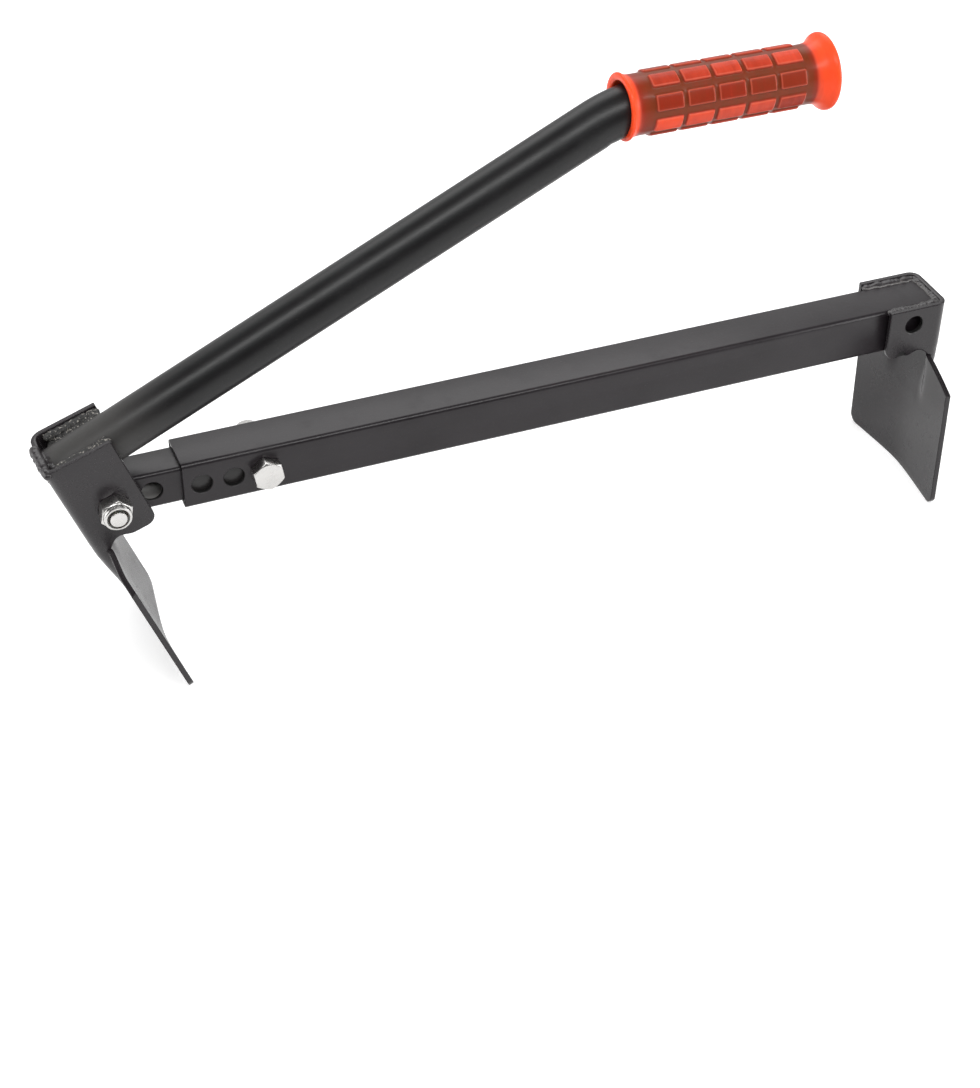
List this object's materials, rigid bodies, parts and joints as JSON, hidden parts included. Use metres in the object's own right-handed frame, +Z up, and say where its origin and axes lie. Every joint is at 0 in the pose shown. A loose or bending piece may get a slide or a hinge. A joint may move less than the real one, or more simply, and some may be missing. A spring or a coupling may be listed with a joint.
{
  "type": "brick tongs",
  "caption": "Brick tongs: a telescopic square-tube arm with a fixed folded jaw, and a bent lifting handle whose jaw swings on a pivot bolt to grip a row of bricks.",
  "frame": {"origin": "on the floor under the middle of the whole object", "axes": "+Z up, X along the arm from the moving jaw to the fixed jaw, Y across the arm"},
  "size_m": [0.6102, 0.113, 0.3422],
  "materials": {
    "arm_paint": "semi-gloss dark grey powder coat",
    "jaw_paint": "semi-gloss dark grey powder coat",
    "weld_paint": "powder coat over rough weld",
    "handle_paint": "semi-gloss black powder coat",
    "zinc": "bright zinc plate",
    "nylon": "natural nylon",
    "grip": "soft translucent vinyl"
  },
  "bodies": {
    "arm": {"outer_tube": "arm_paint", "inner_tube": "arm_paint", "fixed_jaw": "jaw_paint", "fixed_weld_near": "weld_paint", "fixed_weld_far": "weld_paint", "fixed_weld_end": "weld_paint", "lock_bolt": "zinc", "lock_nut": "zinc", "lock_nut_insert": "nylon"},
    "lifting_handle": {"moving_jaw": "jaw_paint", "handle_tube": "handle_paint", "handle_grip": "grip", "handle_weld_near": "weld_paint", "handle_weld_far": "weld_paint", "handle_weld_end": "weld_paint", "pivot_bolt": "zinc", "pivot_nut": "zinc", "pivot_nut_insert": "nylon", "pivot_spacer_near": "zinc", "pivot_spacer_far": "zinc"}
  },
  "joints": [
    {"name": "handle_pivot", "type": "hinge", "parent": "arm", "child": "lifting_handle", "pos_m": [-0.26397, 0, 0.12746], "axis": [0, -1, 0], "range_deg": [-18, 64]}
  ]
}
